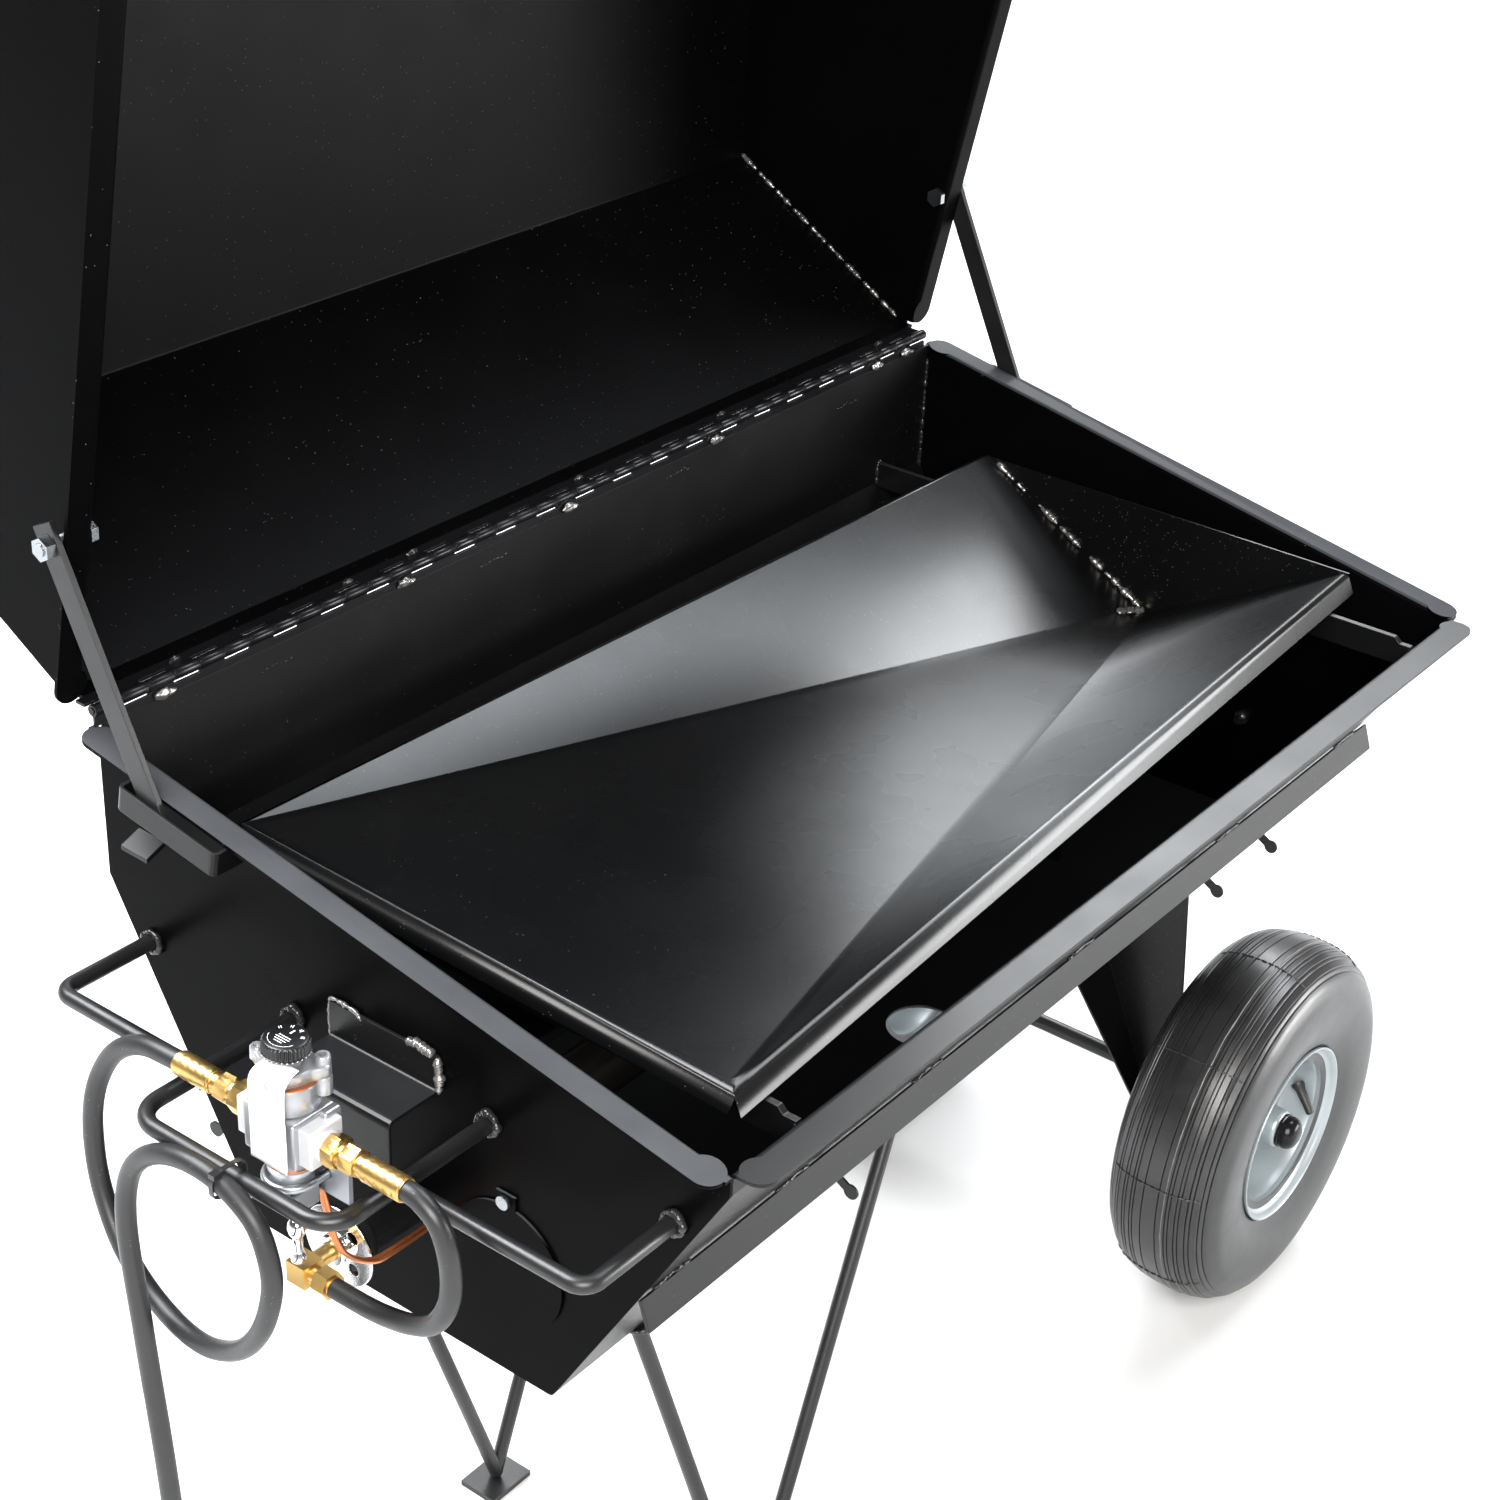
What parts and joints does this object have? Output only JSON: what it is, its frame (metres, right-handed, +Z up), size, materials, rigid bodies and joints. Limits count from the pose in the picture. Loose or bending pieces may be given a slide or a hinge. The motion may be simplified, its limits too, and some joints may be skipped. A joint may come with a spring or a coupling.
{
  "type": "gas barbecue roaster",
  "caption": "Wheeled folded-steel gas roaster: a sloped trough with a hinged lid on prop arms, lift-out drip pan, tube burner, gas valve and hoses, vents, wheels and a bar stand.",
  "frame": {"origin": "on the ground, under the middle of the box round the whole object without its free hose", "axes": "X along the trough, from the gas valve end to the wheel end; Y from the low front rim to the hinge side; Z up"},
  "size_m": [1.3468, 0.8603, 1.4729],
  "materials": {
    "painted_steel": "satin black paint over welded sheet and bar",
    "burner_steel": "bare steel, heat tinted",
    "zinc": "bright zinc plate",
    "rim_steel": "grey zinc coat, semi matt",
    "brass": "machined brass",
    "copper": "drawn copper tube",
    "valve_casting": "die cast, satin",
    "plate_steel": "dull zinc plate",
    "rubber": "matt black hose rubber",
    "tyre": "ribbed black tyre rubber",
    "dial_plastic": "black moulded plastic with a white scale",
    "paper": "blank white label",
    "black_plastic": "black nylon",
    "chrome": "bright chrome plate"
  },
  "bodies": {
    "trough": {"front_panel": "painted_steel", "floor_panel": "painted_steel", "rear_panel": "painted_steel", "end_plate_left": "painted_steel", "end_plate_right": "painted_steel", "drip_rail": "painted_steel", "pan_supports": "painted_steel", "strap_guides": "painted_steel", "arm_stops": "painted_steel", "carry_handle": "painted_steel", "valve_holder": "painted_steel", "shield_bracket": "painted_steel", "vent_guides": "painted_steel", "drain_pipe": "painted_steel", "burner_tube": "burner_steel", "burner_supports": "painted_steel", "mixer_tube": "painted_steel", "orifice_elbow": "brass", "outlet_hose": "rubber", "capillary_tubes": "copper", "valve_body": "valve_casting", "valve_cover": "valve_casting", "valve_plate": "plate_steel", "valve_strap": "painted_steel", "u_bolt": "zinc", "hose_fittings": "brass", "hose_ferrules": "brass", "valve_tag": "paper", "supply_hose": "rubber", "regulator": "valve_casting", "bottle_connector": "brass", "cable_tie": "black_plastic", "wheel_leg": "painted_steel", "axle": "zinc", "axle_caps": "painted_steel", "stand_legs": "painted_steel", "hinge_body_leaf": "painted_steel", "hinge_pin": "zinc", "port_screw": "zinc", "tie_bolt": "zinc"},
    "drip_pan": {"drip_pan": "painted_steel"},
    "port_cover": {"port_cover": "painted_steel"},
    "front_wheel": {"front_tyre": "tyre", "front_rim": "rim_steel"},
    "rear_wheel": {"rear_tyre": "tyre", "rear_rim": "rim_steel"},
    "lid": {"lid_sheet": "painted_steel", "lid_end_left": "painted_steel", "lid_end_right": "painted_steel", "lid_handle": "painted_steel", "hinge_lid_leaf": "painted_steel", "arm_bolts": "zinc"},
    "prop_arm_left": {"prop_arm_left": "painted_steel"},
    "prop_arm_right": {"prop_arm_right": "painted_steel"},
    "valve_dial": {"valve_dial": "dial_plastic"},
    "air_shutter": {"air_shutter": "chrome"},
    "vent_slide_1": {"vent_slide_1": "painted_steel"},
    "vent_slide_2": {"vent_slide_2": "painted_steel"},
    "vent_slide_3": {"vent_slide_3": "painted_steel"},
    "vent_slide_rear": {"vent_slide_rear": "painted_steel"}
  },
  "joints": [
    {"name": "lid_hinge", "type": "hinge", "parent": "trough", "child": "lid", "pos_m": [0.0322, 0.1858, 0.85839], "axis": [1, 0, 0], "range_deg": [0, 91.8]},
    {"name": "arm_pivot_left", "type": "hinge", "parent": "lid", "child": "prop_arm_left", "pos_m": [-0.5303, 0.1858, 0.9983], "axis": [1, 0, 0], "range_deg": [-62.5, 0]},
    {"name": "arm_pivot_right", "type": "hinge", "parent": "lid", "child": "prop_arm_right", "pos_m": [0.5947, 0.1858, 0.9983], "axis": [1, 0, 0], "range_deg": [-62.5, 0]},
    {"name": "pan_lift", "type": "slide", "parent": "trough", "child": "drip_pan", "axis": [0, 0, 1], "range_m": [0, 0.1]},
    {"name": "port_cover_pivot", "type": "hinge", "parent": "trough", "child": "port_cover", "pos_m": [-0.5057, -0.2152, 0.619], "axis": [1, 0, 0], "range_deg": [-100, 0]},
    {"name": "front_wheel_axle", "type": "hinge", "parent": "trough", "child": "front_wheel", "pos_m": [0.4737, -0.3252, 0.19], "axis": [0, 1, 0], "continuous": true},
    {"name": "rear_wheel_axle", "type": "hinge", "parent": "trough", "child": "rear_wheel", "pos_m": [0.4737, 0.1058, 0.19], "axis": [0, 1, 0], "continuous": true},
    {"name": "dial_turn", "type": "hinge", "parent": "trough", "child": "valve_dial", "pos_m": [-0.6197, -0.1252, 0.771], "axis": [0, 0, 1], "range_deg": [0, 180]},
    {"name": "shutter_turn", "type": "hinge", "parent": "trough", "child": "air_shutter", "pos_m": [-0.5693, -0.1132, 0.563], "axis": [1, 0, 0], "range_deg": [0, 90]},
    {"name": "vent_slide_1_move", "type": "slide", "parent": "trough", "child": "vent_slide_1", "axis": [-1, 0, 0], "range_m": [0, 0.017]},
    {"name": "vent_slide_2_move", "type": "slide", "parent": "trough", "child": "vent_slide_2", "axis": [-1, 0, 0], "range_m": [0, 0.017]},
    {"name": "vent_slide_3_move", "type": "slide", "parent": "trough", "child": "vent_slide_3", "axis": [-1, 0, 0], "range_m": [0, 0.017]},
    {"name": "vent_slide_rear_move", "type": "slide", "parent": "trough", "child": "vent_slide_rear", "axis": [1, 0, 0], "range_m": [0, 0.017]}
  ],
  "couplings": [
    {"joint": "arm_pivot_left", "follows": "lid_hinge", "ratio": -0.68},
    {"joint": "arm_pivot_right", "follows": "lid_hinge", "ratio": -0.68}
  ]
}
